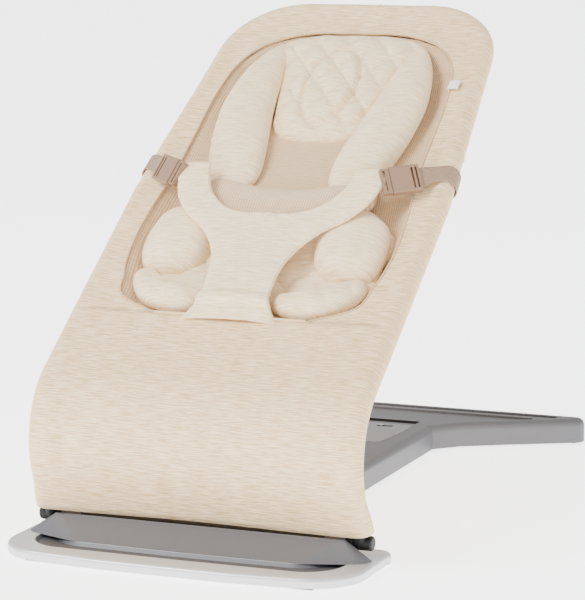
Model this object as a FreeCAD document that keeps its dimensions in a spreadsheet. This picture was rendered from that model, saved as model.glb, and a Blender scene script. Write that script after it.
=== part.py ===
import FreeCAD, Part
import math
import os

# Bouncer seat, in millimetres. X points to the right, Y to the rear and Z up; the floor is Z = 0.
# Base parts are drawn with the seat hinge above Y = 0, seat parts on the plane of the backrest.

os.makedirs("parts", exist_ok=True)
doc = FreeCAD.newDocument("bouncer_seat")
V = FreeCAD.Vector

DIMENSIONS = [
    ("hinge_y", -296, "hinge axis, from the middle of the footprint"),
    ("hinge_z", 30, "hinge axis above the floor"),
    ("shaft_radius", 7, "hinge shaft"),
    ("cap_radius", 8.5, "knuckles at the ends of the hinge"),
    ("knuckle_start", 181, "inner face of a knuckle"),
    ("bow_inset", 26, "head bow corner, inwards from the side tube"),
    ("back_y", 3.4, "start of the flat back, behind the hinge"),
    ("back_z", 207, "start of the flat back, above the floor"),
    ("back_angle", 36, "slope of the flat back in degrees"),
    ("back_length", 664, "flat back, from the bend to the head edge"),
    ("bend_radius", 110, "front face of the bend under the knees"),
    ("tube_radius", 11, "seat frame tube"),
    ("tube_wall", 1.5, "wall of the frame tube"),
    ("tube_x", 191, "side tube from the middle"),
    ("tube_depth", 14.5, "tube axis below the front face of the fabric"),
    ("sleeve_radius", 13.5, "outside of the fabric sleeve"),
    ("straight_end", 300, "top of the straight side tubes along the back"),
    ("fabric", 3, "thickness of the sewn fabric panels"),
    ("apron_top", 80, "upper edge of the apron along the back"),
    ("pad_height", 3, "rubber pads under the base"),
    ("foot_front", 117, "front foot ahead of the hinge"),
    ("foot_half_width", 217, "front foot"),
    ("foot_height", 11, "front foot shell"),
    ("ramp_height", 21, "ramp on the front foot"),
    ("ramp_rear", -14.5, "rear face of the ramp, from the hinge"),
    ("dish_depth", 4, "dish in the front foot"),
    ("spine_start", 41, "front end of the spine behind the hinge"),
    ("spine_end", 580, "rear end of the spine behind the hinge"),
    ("spine_half_width", 68, "spine at the floor"),
    ("base_round", 9, "rounding along the base"),
    ("spine_height", 31, "spine beam"),
    ("hub_depth", 3.3, "recess for the hub panel"),
    ("rear_end", 712, "rear edge of the rear foot behind the hinge"),
    ("rear_half_width", 246, "rear foot"),
    ("rear_height", 31, "rear foot shell"),
    ("prop_along", 372, "prop pivot along the back"),
    ("prop_depth", 37.5, "prop pivot below the front face"),
    ("prop_foot_y", 111, "prop foot behind the hinge"),
    ("prop_foot_z", 40, "prop foot above the floor"),
    ("prop_half_width", 45, "prop legs from the middle"),
    ("wire_radius", 5, "prop wire"),
    ("bar_radius", 7, "crossbar behind the back"),
    ("mesh_depth", 14, "mesh panel below the front face"),
    ("bucket_depth", 27, "mesh seat below the front face"),
    ("restraint_tilt", 5, "restraint panel from the back in degrees"),
    ("bow_edge", 14, "head bow axis below the head edge"),
    ("buckle_x", 130, "inner end of a buckle from the middle"),
    ("buckle_along", 297, "inner end of a buckle along the back"),
    ("buckle_out", 25, "inner end of a buckle in front of the back"),
    ("buckle_turn", 32, "buckle in the plane of the back in degrees"),
    ("buckle_drop", 15, "buckle down towards the frame in degrees"),
    ("buckle_roll", 28, "turn of a buckle about its own strap"),
    ("strap_drop", 14, "strap down towards the frame from the line of the buckle in degrees"),
    ("strap_along", 342, "strap loop round the frame, along the back"),
    ("running_gap", 0.05, "radial clearance in the pivots"),
]

dims = doc.addObject("Spreadsheet::Sheet", "dims")
for row, (alias, value, note) in enumerate(DIMENSIONS, start=1):
    dims.set("A%d" % row, note)
    dims.set("B%d" % row, str(value))
    dims.setAlias("B%d" % row, alias)
doc.recompute()
D = {alias: float(value) for alias, value, note in DIMENSIONS}

TILT = math.radians(D["back_angle"])
BEND_Y = D["back_y"] + D["bend_radius"] * math.sin(TILT)
BEND_Z = D["back_z"] - D["bend_radius"] * math.cos(TILT)
BOW_TOP = D["back_length"] - D["bow_edge"]
PARTS = []


def at_hinge(part):
    """Puts a part drawn about the hinge into the frame of the whole object."""
    part.setExpression("Placement.Base.y", "dims.hinge_y")
    PARTS.append(part)
    return part


def on_back(part):
    """Puts a part drawn on the flat back (X across, Y up the slope, Z out of it) in place."""
    part.Placement = FreeCAD.Placement(V(0, 0, 0), FreeCAD.Rotation(V(1, 0, 0), D["back_angle"]))
    part.setExpression("Placement.Base.y", "dims.hinge_y + dims.back_y")
    part.setExpression("Placement.Base.z", "dims.back_z")
    part.setExpression("Placement.Rotation.Angle", "dims.back_angle")
    PARTS.append(part)
    return part


def back_point(along, out):
    """Y and Z, about the hinge, of a point on the flat back."""
    y = D["back_y"] + along * math.cos(TILT) - out * math.sin(TILT)
    z = D["back_z"] + along * math.sin(TILT) + out * math.cos(TILT)
    return y, z


# ---------------------------------------------------------------- outlines

def lines(points):
    """Closed outline of straight lines."""
    corners = [V(x, y, 0) for x, y in points]
    return [Part.LineSegment(a, b) for a, b in zip(corners, corners[1:] + corners[:1])]


def rounded(points):
    """Closed outline from (x, y, corner radius)."""
    count = len(points)
    ends = []
    for i in range(count):
        x, y, radius = points[i]
        here = V(x, y, 0)
        before = V(*points[i - 1][:2], 0) - here
        after = V(*points[(i + 1) % count][:2], 0) - here
        before.normalize()
        after.normalize()
        if radius == 0:
            ends.append((here, None, here))
            continue
        half = before.getAngle(after) / 2
        bisector = before + after
        bisector.normalize()
        reach = radius / math.tan(half)
        middle = here + bisector * (radius / math.sin(half) - radius)
        ends.append((here + before * reach, middle, here + after * reach))
    outline = []
    for i in range(count):
        start, middle, end = ends[i]
        if middle is not None:
            outline.append(Part.Arc(start, middle, end))
        following = ends[(i + 1) % count][0]
        if end.distanceToPoint(following) > 1e-6:
            outline.append(Part.LineSegment(end, following))
    return outline


def symmetric(half):
    """Full outline from its right half, given from the lowest point to the highest."""
    left = [(-point[0],) + tuple(point[1:]) for point in reversed(half) if point[0] != 0]
    return list(half) + left


def smooth(points):
    """Closed smooth outline through the points."""
    curve = Part.BSplineCurve()
    curve.interpolate([V(x, y, 0) for x, y in points], PeriodicFlag=True)
    return [curve]


def circle(x, y, radius):
    return [Part.Circle(V(x, y, 0), V(0, 0, 1), radius)]


# ---------------------------------------------------------------- features

def draw(body, name, plane, geometry, offset="0"):
    sketch = body.newObject("Sketcher::SketchObject", name)
    origin = [feature for feature in body.Origin.OriginFeatures if feature.Role == plane][0]
    sketch.AttachmentSupport = [(origin, "")]
    sketch.MapMode = "FlatFace"
    sketch.setExpression("AttachmentOffset.Base.z", offset)
    for item in geometry:
        sketch.addGeometry(item, False)
    return sketch


def pad(label, geometry, low, height, plane="XY_Plane", both_ways=False):
    """New body: an outline raised from 'low' by 'height'."""
    body = doc.addObject("PartDesign::Body", label)
    body.Label = label
    feature = body.newObject("PartDesign::Pad", label + "_pad")
    feature.Profile = draw(body, label + "_outline", plane, geometry, low)
    feature.setExpression("Length", height)
    if both_ways:
        feature.SideType = "Symmetric"
    doc.recompute()
    return body


def pocket(body, name, geometry, top, depth, slope=0):
    """Cuts an outline downwards from 'top', with walls sloping inwards by 'slope' degrees."""
    before = body.Shape.Volume
    feature = body.newObject("PartDesign::Pocket", name)
    feature.Profile = draw(body, name + "_outline", "XY_Plane", geometry, top)
    feature.setExpression("Length", depth)
    feature.TaperAngle = -slope
    doc.recompute()
    if body.Shape.Volume >= before:
        raise ValueError("pocket %s removes nothing" % name)
    return body


def soften(body, radius, wanted):
    """Rounds the edges for which wanted(edge) is true."""
    tip = body.Tip
    names = ["Edge%d" % (i + 1) for i, edge in enumerate(tip.Shape.Edges) if wanted(edge)]
    fillet = body.newObject("PartDesign::Fillet", body.Name + "_round")
    fillet.Base = (tip, names)
    fillet.Radius = radius
    doc.recompute()
    return body


def flat_at(height, minimum=0):
    """Test for edges lying flat at one height of the body."""
    def test(edge):
        box = edge.BoundBox
        return abs(box.ZMin - height) < 1e-3 and abs(box.ZMax - height) < 1e-3 and edge.Length > minimum
    return test


def shaped(label, shape):
    part = doc.addObject("Part::Feature", label)
    part.Label = label
    part.Shape = shape
    return part


def mirrored(label, source):
    """The same part on the left side."""
    part = doc.addObject("Part::Mirroring", label)
    part.Label = label
    part.Source = source
    part.Normal = (1, 0, 0)
    part.Base = (0, 0, 0)
    PARTS.append(part)
    return part


def box(x0, x1, y0, y1, z0, z1):
    return Part.makeBox(x1 - x0, y1 - y0, z1 - z0, V(x0, y0, z0))


def rod(start, end, radius):
    return Part.makeCylinder(radius, start.distanceToPoint(end), start, end - start)


def pipe(edges, radius):
    path = Part.Wire(edges)
    start = edges[0].valueAt(edges[0].FirstParameter)
    heading = edges[0].tangentAt(edges[0].FirstParameter)
    ring = Part.Wire([Part.makeCircle(radius, start, heading)])
    return path.makePipeShell([ring], True, False, 1)


# ---------------------------------------------------------------- base

def front_foot():
    bottom = -D["foot_front"]
    wide = D["foot_half_width"]
    top = D["pad_height"] + D["foot_height"]
    outline = rounded(symmetric([(0, bottom, 0), (80, bottom, 200), (wide, bottom + 13, 60), (wide, 12, 0),
                                 (0, 12, 0)]))
    shell = pad("front_foot_shell", outline, "dims.pad_height", "dims.foot_height")
    soften(shell, 4, lambda edge: flat_at(top, 3)(edge) and edge.BoundBox.YMin < 11)
    dish = rounded(symmetric([(0, bottom + 31, 0), (186, bottom + 33, 45), (190, -28, 7), (170, -28, 7),
                              (146, -54, 40), (0, -57, 0)]))
    pocket(shell, "dish", dish, "dims.pad_height + dims.foot_height", "dims.dish_depth", 45)
    hollow = rounded(symmetric([(0, bottom + 33, 0), (wide - 15, bottom + 38, 50), (wide - 10, 4, 8),
                                (0, 4, 0)]))
    pocket(shell, "underside", hollow, "dims.pad_height + 5", "5")
    at_hinge(shell)

    outline = rounded(symmetric([(0, 12.4, 0), (wide, 12.4, 0), (wide + 6, 39, 18), (0, 40, 0)]))
    rear = pad("front_foot_rear_cover", outline, "dims.pad_height", "dims.foot_height")
    soften(rear, 4, lambda edge: flat_at(top, 3)(edge) and edge.BoundBox.YMax > 13)
    at_hinge(rear)
    front_foot_ramp(top)


def front_foot_ramp(low):
    """Ramp that rises from the dish to a narrow edge in front of the hinge."""
    back = D["ramp_rear"]
    high = low + D["ramp_height"]
    bottom = rounded(symmetric([(0, -57, 0), (140, -54, 70), (211, -30, 20), (211, back, 0), (0, back, 0)]))
    edge = rounded(symmetric([(0, -19, 0), (172, -19, 6), (180, -17, 2), (180, back, 0), (0, back, 0)]))
    sections = []
    for outline, height in ((bottom, low), (edge, high)):
        wire = Part.Wire([curve.toShape() for curve in outline])
        wire.translate(V(0, 0, height))
        sections.append(wire)
    at_hinge(shaped("front_foot_ramp", Part.makeLoft(sections, True, True)))


def pads(label, x, y, length, width):
    """Two rubber pads, right and left."""
    both = []
    for side in (1, -1):
        strip = doc.addObject("Part::Box", "%s_%s" % (label, "right" if side == 1 else "left"))
        strip.Length = length
        strip.Width = width
        strip.setExpression("Height", "dims.pad_height")
        strip.Placement.Base = V(side * x - length / 2, y - width / 2, 0)
        both.append(strip)
    pair = doc.addObject("Part::Compound", label)
    pair.Label = label
    pair.Links = both
    at_hinge(pair)


def hinge_lugs():
    """Plain bearing blocks that hold the hinge shaft."""
    centre = D["hinge_z"]
    radius = D["shaft_radius"] + 3.5
    foot = D["pad_height"] + D["foot_height"]
    outline = [Part.LineSegment(V(-12, foot, 0), V(12, foot, 0)),
               Part.LineSegment(V(12, foot, 0), V(radius, centre, 0)),
               Part.Arc(V(radius, centre, 0), V(0, centre + radius, 0), V(-radius, centre, 0)),
               Part.LineSegment(V(-radius, centre, 0), V(-12, foot, 0))]
    bore = circle(0, centre, D["shaft_radius"] + D["running_gap"])
    lug = pad("right_hinge_lug", outline + bore, "152", "24", plane="YZ_Plane")
    at_hinge(lug)
    mirrored("left_hinge_lug", lug)


def spine():
    base = D["pad_height"]
    top = base + D["spine_height"]
    half = D["spine_half_width"]
    section = lines([(-half, base), (half, base), (half, top), (-half, top)])
    beam = pad("spine_beam", section, "-dims.spine_end", "dims.spine_end - dims.spine_start",
               plane="XZ_Plane")
    soften(beam, D["base_round"], flat_at(top, 300))
    channel = rounded(symmetric([(0, 50, 0), (56, 50, 4), (56, 192, 4), (0, 192, 0)]))
    pocket(beam, "prop_channel", channel, "dims.pad_height + dims.spine_height", "14")
    pocket(beam, "hub_recess", hub_outline(0), "dims.pad_height + dims.spine_height", "dims.hub_depth")
    well = rounded([(-5, 555, 2), (20, 555, 2), (20, 570, 2), (-5, 570, 2)])
    pocket(beam, "pin_well", well, "dims.pad_height + dims.spine_height", "14")
    low_hollow = rounded([(-62, 47, 4), (62, 47, 4), (62, 574, 4), (-62, 574, 4)])
    pocket(beam, "underside", low_hollow, "dims.pad_height + 14", "14")
    high_hollow = rounded([(-58, 200, 4), (58, 200, 4), (58, 548, 4), (-58, 548, 4)])
    pocket(beam, "underside_middle", high_hollow, "dims.pad_height + 25", "11")
    at_hinge(beam)

    hub = pad("hub_panel", hub_outline(0.3), "dims.pad_height + dims.spine_height - dims.hub_depth",
              "dims.hub_depth + 0.3")
    slot = rounded([(-3, 557, 2), (18, 557, 2), (18, 568, 2), (-3, 568, 2)])
    pocket(hub, "pin_slot", slot, "dims.pad_height + dims.spine_height + 1", "6")
    at_hinge(hub)


def hub_outline(gap):
    """Flat panel on the spine, a little wider to the rear."""
    return rounded(symmetric([(0, 465 + gap, 0), (36 - gap, 465 + gap, 9), (43 - gap, 530, 0),
                              (43 - gap, 576 - gap, 2), (0, 576 - gap, 0)]))


def lock_pin():
    """Small pin seen in the slot of the hub panel."""
    pin = doc.addObject("Part::Cylinder", "lock_pin")
    pin.Label = "lock_pin"
    pin.Radius = 3.6
    pin.Height = 11.5
    pin.Placement.Base = V(2.5, 0, 24)
    pin.setExpression("Placement.Base.y", "dims.hinge_y + 562.5")
    PARTS.append(pin)


def notch_rack():
    """Rack for the prop foot: one low rib ahead of the foot and two high ribs behind it."""
    floor = D["pad_height"] + D["spine_height"] - 14
    profile = lines([(56, floor), (160, floor), (160, floor + 3), (152, floor + 3), (150, floor + 17),
                     (145, floor + 17), (143, floor + 3), (133, floor + 3), (131, floor + 13),
                     (127, floor + 13), (125, floor + 3), (104, floor + 3), (102, floor + 4),
                     (98, floor + 4), (96, floor + 3), (56, floor + 3)])
    rack = pad("notch_rack", profile, "0", "72", plane="YZ_Plane", both_ways=True)
    at_hinge(rack)


def rear_foot():
    front = D["spine_end"]
    rear = D["rear_end"]
    wide = D["rear_half_width"]
    outline = rounded(symmetric([(0, front, 0), (D["spine_half_width"], front, 0), (97, 609, 24),
                                 (143, 636, 90), (wide - 8, 686, 14), (wide, rear, 14), (0, rear, 0)]))
    shell = pad("rear_foot_shell", outline, "dims.pad_height", "dims.rear_height")
    top = D["pad_height"] + D["rear_height"]
    soften(shell, D["base_round"], lambda edge: flat_at(top)(edge) and edge.BoundBox.YMax > front + 1)
    slot = rounded([(-43, 586, 5), (43, 586, 5), (43, 604, 5), (-43, 604, 5)])
    pocket(shell, "release_slot", slot, "dims.pad_height + dims.rear_height", "18")
    groove = rounded([(-205, 686, 5), (205, 686, 5), (205, 698, 5), (-205, 698, 5)])
    pocket(shell, "rear_groove", groove, "dims.pad_height + dims.rear_height", "5")
    field = rounded(symmetric([(0, 622, 0), (84, 622, 8), (150, 655, 20), (196, 676, 5), (0, 676, 0)]))
    pocket(shell, "rear_field", field, "dims.pad_height + dims.rear_height", "2.5")
    low_hollow = rounded(symmetric([(0, front + 6, 0), (60, front + 6, 4), (92, 616, 16), (140, 646, 50),
                                    (174, 664, 6), (174, 704, 4), (0, 704, 0)]))
    pocket(shell, "underside", low_hollow, "dims.pad_height + 10", "10")
    high_hollow = rounded(symmetric([(0, 611, 0), (78, 614, 6), (138, 649, 40), (170, 666, 6),
                                     (170, 702, 4), (0, 702, 0)]))
    pocket(shell, "underside_rear", high_hollow, "dims.pad_height + 22", "12")
    at_hinge(shell)

    lining = rounded([(-42.7, 586.3, 4.7), (42.7, 586.3, 4.7), (42.7, 603.7, 4.7), (-42.7, 603.7, 4.7)])
    liner = pad("slot_liner", lining, "dims.pad_height + dims.rear_height - 18", "18")
    hollow = rounded([(-41, 588, 3), (41, 588, 3), (41, 602, 3), (-41, 602, 3)])
    pocket(liner, "liner_hollow", hollow, "dims.pad_height + dims.rear_height", "16")
    at_hinge(liner)

    strip = rounded([(-204.7, 686.3, 4.7), (204.7, 686.3, 4.7), (204.7, 697.7, 4.7), (-204.7, 697.7, 4.7)])
    inlay = pad("rear_foot_inlay", strip, "dims.pad_height + dims.rear_height - 5", "3")
    at_hinge(inlay)


# ---------------------------------------------------------------- seat frame

def hinge_shaft():
    shaft = doc.addObject("Part::Cylinder", "hinge_shaft")
    shaft.Label = "hinge_shaft"
    shaft.setExpression("Radius", "dims.shaft_radius")
    shaft.setExpression("Height", "2 * dims.tube_x + 16")
    shaft.Placement.Rotation = FreeCAD.Rotation(V(0, 1, 0), 90)
    shaft.setExpression("Placement.Base.x", "-dims.tube_x - 8")
    shaft.setExpression("Placement.Base.y", "dims.hinge_y")
    shaft.setExpression("Placement.Base.z", "dims.hinge_z")
    PARTS.append(shaft)

    tangent = side_path(D["tube_x"], D["straight_end"])[0]
    centre = tangent.valueAt(tangent.FirstParameter)
    heading = tangent.tangentAt(tangent.FirstParameter)
    inner = V(D["knuckle_start"], 0, D["hinge_z"])
    outer = V(D["tube_x"] + 16, 0, D["hinge_z"])
    knuckle = rod(inner, outer, D["cap_radius"])
    knuckle = knuckle.makeFillet(3, [edge for edge in knuckle.Edges if edge.BoundBox.XMin > outer.x - 1])
    plug = rod(centre, centre + heading * 36, D["tube_radius"] - D["tube_wall"] - 0.3)
    bore = rod(inner - V(5, 0, 0), V(D["tube_x"] + 8, 0, D["hinge_z"]), D["shaft_radius"])
    cap = at_hinge(shaped("right_hinge_cap", knuckle.fuse(plug).cut(bore).removeSplitter()))
    mirrored("left_hinge_cap", cap)


def side_path(x, end):
    """Path of a side tube: straight up from the hinge, round the bend, then up the back."""
    radius = D["bend_radius"] - D["tube_depth"]
    rise = BEND_Z - D["hinge_z"]
    reach = math.hypot(BEND_Y, rise)
    length = math.sqrt(reach ** 2 - radius ** 2)
    heading = math.atan2(rise, BEND_Y) + math.asin(radius / reach)

    def on_bend(angle):
        return V(x, BEND_Y - radius * math.sin(angle), BEND_Z + radius * math.cos(angle))

    tangent = V(x, length * math.cos(heading), D["hinge_z"] + length * math.sin(heading))
    middle = on_bend((heading + TILT) / 2)
    top = on_bend(TILT)
    hinge = V(x, 0, D["hinge_z"])
    last = V(x, *back_point(end, -D["tube_depth"]))
    return [Part.makeLine(hinge, tangent), Part.Arc(tangent, middle, top).toShape(),
            Part.makeLine(top, last)]


def bow_path():
    """Path of the head bow on the back: in a little on both sides and round the corners."""
    side = D["tube_x"]
    low = D["straight_end"]
    corner = side - D["bow_inset"]
    outline = rounded([(side, low, 0), (corner, BOW_TOP, 88), (-corner, BOW_TOP, 88), (-side, low, 0)])
    edges = [curve.toShape() for curve in outline[:-1]]
    for edge in edges:
        edge.translate(V(0, 0, -D["tube_depth"]))
    return edges


def frame_tubes():
    radius = D["tube_radius"]
    inside = radius - D["tube_wall"]
    path = side_path(D["tube_x"], D["straight_end"])
    hinge = V(D["tube_x"], 0, D["hinge_z"])
    low = hinge - V(20, 30, 30)
    tube = pipe(path, radius).cut(pipe(path, inside))
    tube = tube.cut(Part.makeBox(40, 60, 39.5, low))
    right = at_hinge(shaped("right_side_tube", tube))
    mirrored("left_side_tube", right)

    sleeve = pipe(path, D["sleeve_radius"]).cut(pipe(path, radius + 0.3))
    sleeve = sleeve.cut(Part.makeBox(40, 60, 40, low))
    cover = at_hinge(shaped("right_sleeve", sleeve))
    mirrored("left_sleeve", cover)

    bow = bow_path()
    arch = pipe(bow, radius).cut(pipe(bow, inside))
    on_back(shaped("head_bow_tube", trim_low(arch)))
    hood = pipe(bow, D["sleeve_radius"]).cut(pipe(bow, radius + 0.3))
    on_back(shaped("head_sleeve", trim_low(hood)))


def trim_low(shape):
    """Square ends for the bow, level with the tops of the side tubes."""
    return shape.cut(box(-250, 250, 200, D["straight_end"], -60, 60))


def crossbar():
    bar = doc.addObject("Part::Cylinder", "mid_crossbar")
    bar.Label = "mid_crossbar"
    bar.setExpression("Radius", "dims.bar_radius")
    bar.setExpression("Height", "2 * dims.tube_x - 30")
    y, z = back_point(D["prop_along"], -D["prop_depth"])
    bar.Placement.Rotation = FreeCAD.Rotation(V(0, 1, 0), 90)
    bar.setExpression("Placement.Base.x", "15 - dims.tube_x")
    bar.setExpression("Placement.Base.y", "dims.hinge_y + %f" % y)
    bar.setExpression("Placement.Base.z", "%f" % z)
    PARTS.append(bar)

    along = D["prop_along"]
    depth = D["prop_depth"]
    top = D["tube_depth"] + D["sleeve_radius"]
    outline = rounded([(along - 14, -depth - 9, 6), (along + 14, -depth - 9, 6), (along + 14, -top, 2),
                       (along - 14, -top, 2)])
    hole = circle(along, -depth, D["bar_radius"])
    bracket = pad("right_crossbar_bracket", outline + hole, "148", "32", plane="YZ_Plane")
    on_back(bracket)
    mirrored("left_crossbar_bracket", bracket)


# ---------------------------------------------------------------- prop

def prop():
    """Wire prop: two legs with eyes round the crossbar, joined by the foot bar."""
    y, z = back_point(D["prop_along"], -D["prop_depth"])
    half = D["prop_half_width"]
    wire = D["wire_radius"]
    foot = V(half, D["prop_foot_y"], D["prop_foot_z"])
    shape = rod(V(-half, foot.y, foot.z), foot, wire)
    for side in (1, -1):
        pivot = V(side * half, y, z)
        low = V(side * half, foot.y, foot.z)
        leg = rod(low, pivot, wire)
        knuckle = Part.makeSphere(wire, low)
        eye = rod(pivot - V(7, 0, 0), pivot + V(7, 0, 0), D["bar_radius"] + 4)
        shape = shape.fuse([leg, knuckle, eye])
    bore = rod(V(-2 * half, y, z), V(2 * half, y, z), D["bar_radius"] + D["running_gap"])
    at_hinge(shaped("prop_wire", shape.cut(bore)))

    ring = circle(D["prop_foot_y"], D["prop_foot_z"], 8)
    ring += circle(D["prop_foot_y"], D["prop_foot_z"], wire)
    sleeve = pad("prop_foot_sleeve", ring, "0", "60", plane="YZ_Plane", both_ways=True)
    at_hinge(sleeve)


# ---------------------------------------------------------------- cover

def apron():
    """Front fabric between the side sleeves, from the hinge round the bend."""
    outer = D["bend_radius"]
    inner = outer - D["fabric"]
    low = math.radians(135)

    def on_bend(radius, angle):
        return V(BEND_Y - radius * math.sin(angle), BEND_Z + radius * math.cos(angle), 0)

    middle = (low + TILT) / 2
    front_top = V(*back_point(D["apron_top"] - 0.3, 0), 0)
    back_top = V(*back_point(D["apron_top"] - 0.3, -D["fabric"]), 0)
    outline = [Part.Arc(on_bend(outer, low), on_bend(outer, middle), on_bend(outer, TILT)),
               Part.LineSegment(on_bend(outer, TILT), front_top),
               Part.LineSegment(front_top, back_top),
               Part.LineSegment(back_top, on_bend(inner, TILT)),
               Part.Arc(on_bend(inner, TILT), on_bend(inner, middle), on_bend(inner, low)),
               Part.LineSegment(on_bend(inner, low), on_bend(outer, low))]
    width = "2 * (dims.tube_x - dims.sleeve_radius) - 1"
    at_hinge(pad("apron", outline, "0", width, plane="YZ_Plane", both_ways=True))


def back_border():
    """Fabric border between the sleeves and the seam round the mesh."""
    low = D["apron_top"]
    inset = D["sleeve_radius"] + 0.5
    side = D["tube_x"] - inset
    high = BOW_TOP - inset
    outer = rounded(symmetric([(0, low, 0), (side, low, 0), (side, D["straight_end"], 0),
                               (side - 25, high, 74), (0, high, 0)]))
    seam = smooth(symmetric([(0, 92), (95, 94), (140, 113), (160, 160), (166, 215), (164, 262),
                             (158, 330), (156, 400), (154, 480), (144, 532), (116, 576), (73, 595),
                             (0, 598)]))
    border = pad("back_border", outer + seam, "-dims.fabric", "dims.fabric")
    on_back(border)


def seat_mesh():
    """Mesh panel that hangs between the sides: a bucket for the seat and a flat back."""
    top = [(88, -5.5), (113, -18), (140, -D["bucket_depth"]), (250, -D["bucket_depth"]),
           (330, -D["mesh_depth"]), (570, -D["mesh_depth"])]
    under = [(along, depth - 2) for along, depth in reversed(top)]
    mesh = pad("seat_mesh", lines(top + under), "0", "338", plane="YZ_Plane", both_ways=True)
    for side in (1, -1):
        corner = lines([(side * 169.5, 300), (side * 175, 300), (side * 175, 575), (side * 128, 575),
                        (side * 152, 500)])
        pocket(mesh, "mesh_corner_%s" % ("right" if side == 1 else "left"), corner, "0", "40")
    on_back(mesh)


def side_tag():
    tag = pad("side_tag", rounded([(150, 494, 0), (164, 494, 1), (164, 510, 1), (150, 510, 0)]), "0.3", "1")
    on_back(tag)


# ---------------------------------------------------------------- insert

def cushion(label, outline, low, height, roundness):
    """Filled piece: an outline with soft upper and lower edges."""
    body = pad(label, outline, str(low), str(height))
    flat = (flat_at(low), flat_at(low + height))
    soften(body, roundness, lambda edge: flat[0](edge) or flat[1](edge))
    return on_back(body)


def insert():
    floor = 0.3 - D["mesh_depth"]
    base = rounded(symmetric([(0, 326, 0), (132, 326, 10), (138, 480, 40), (112, 566, 30), (0, 568, 0)]))
    on_back(pad("insert_mesh", base, str(floor), "2"))

    rest = floor + 2.3
    roll = smooth(symmetric([(0, 396), (43, 404), (62, 434), (66, 480), (71, 530), (84, 566), (60, 588),
                             (0, 594)]))
    pillow = smooth(symmetric([(0, 424), (26, 438), (37, 480), (37, 530), (24, 556), (0, 562)]))
    horseshoe = pad("head_roll", roll + pillow, str(rest), "17")
    top = rest + 17
    soften(horseshoe, 5, flat_at(top))
    on_back(horseshoe)
    inner = smooth(symmetric([(0, 425), (25.5, 438.5), (36, 480), (36, 530), (23.5, 555), (0, 561)]))
    cushion("head_pillow", inner, rest, 12, 4)

    bolster = smooth([(84, 314), (110, 330), (127, 366), (134, 412), (131, 456), (118, 502), (98, 538),
                      (82, 532), (72, 490), (68, 445), (64, 405), (58, 368), (62, 330)])
    right = cushion("right_torso_bolster", bolster, rest, 25, 6)
    mirrored("left_torso_bolster", right)

    lumbar = rounded(symmetric([(0, 258, 0), (104, 258, 12), (104, 308, 12), (0, 308, 0)]))
    cushion("lumbar_roll", lumbar, -13.5, 17, 6)

    seat = smooth(symmetric([(0, 115), (60, 114), (112, 120), (143, 141), (138, 158), (104, 163),
                             (50, 162), (0, 160)]))
    cushion("seat_cushion", seat, -16, 17, 6)

    leg = smooth([(108, 168), (138, 180), (151, 208), (146, 236), (124, 252), (96, 251), (72, 234),
                  (63, 205), (76, 178)])
    thigh = cushion("right_leg_bolster", leg, -26.5, 36, 10)
    mirrored("left_leg_bolster", thigh)


# ---------------------------------------------------------------- restraint and buckles

def restraint():
    """Y-shaped panel from the apron over the lap to both buckles."""
    half = [(0, 0, 0), (57, 0, 3), (46, 12, 8), (42, 34, 20), (43, 66, 40), (48, 96, 50), (62, 124, 50),
            (84, 152, 50), (104, 176, 12), (124, 222, 12), (97, 223, 8), (90, 205, 30), (76, 184, 40),
            (52, 170, 40), (0, 166, 0)]
    panel = pad("restraint_panel", rounded(symmetric(half)), "-1.5", "3")
    y, z = back_point(92, 6)
    tilt = D["back_angle"] + D["restraint_tilt"]
    panel.Placement = FreeCAD.Placement(V(0, 0, z), FreeCAD.Rotation(V(1, 0, 0), tilt))
    panel.setExpression("Placement.Base.y", "dims.hinge_y + %f" % y)
    panel.setExpression("Placement.Rotation.Angle", "dims.back_angle + dims.restraint_tilt")
    PARTS.append(panel)


def buckle_place():
    """Place on the back of the end of the right restraint arm, X outwards along the strap."""
    turn = FreeCAD.Rotation(V(0, 0, 1), D["buckle_turn"])
    drop = FreeCAD.Rotation(V(0, 1, 0), D["buckle_drop"])
    roll = FreeCAD.Rotation(V(1, 0, 0), D["buckle_roll"])
    return FreeCAD.Placement(V(D["buckle_x"], D["buckle_along"], D["buckle_out"]), turn * drop * roll)


def side_pair(name, shape):
    """Puts a shape drawn on the back in place, on the right and mirrored on the left."""
    right = on_back(shaped("right_" + name, shape))
    mirrored("left_" + name, right)


def buckles():
    place = buckle_place()
    tab = box(0, 11, -16, 16, -3.5, 3.5)
    prong = tab.cut(box(3, 6, -13.5, 13.5, -4, 4))
    for side in (1, -1):
        prong = prong.fuse(box(11, 30, side * 10.5 - 2.5, side * 10.5 + 2.5, -2, 2))
    side_pair("buckle_prong", prong.removeSplitter().transformGeometry(place.toMatrix()))

    shell = box(11.5, 47, -17, 17, -5, 5)
    shell = shell.makeFillet(1.5, [edge for edge in shell.Edges if abs(edge.tangentAt(0).x) > 0.9])
    cavity = box(11, 33, -13.5, 13.5, -2.5, 2.5)
    bars = box(37, 39.5, -13.5, 13.5, -6, 6).fuse(box(42, 44.5, -13.5, 13.5, -6, 6))
    side_pair("buckle_socket", shell.cut(cavity).cut(bars).transformGeometry(place.toMatrix()))


def straps():
    """Webbing from each socket to a loop round the frame sleeve."""
    along = D["strap_along"]
    lean = D["bow_inset"] / (BOW_TOP - D["straight_end"])
    centre = V(D["tube_x"] - lean * (along - D["straight_end"]), along, -D["tube_depth"])
    heading = V(-lean, 1, 0)
    heading.normalize()
    start = centre - heading * 13
    inside = D["sleeve_radius"] + 0.4
    loop = rod(start, start + heading * 26, inside + 1.6).cut(rod(start, start + heading * 26, inside))
    bend = FreeCAD.Placement(V(47.6, 0, 0), FreeCAD.Rotation(V(0, 1, 0), D["strap_drop"]))
    tail = box(0, 30, -13, 13, -0.8, 0.8)
    tail = tail.transformGeometry(buckle_place().multiply(bend).toMatrix())
    hole = rod(start - heading * 20, start + heading * 46, inside)
    side_pair("strap", loop.fuse(tail).cut(hole).removeSplitter())


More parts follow.
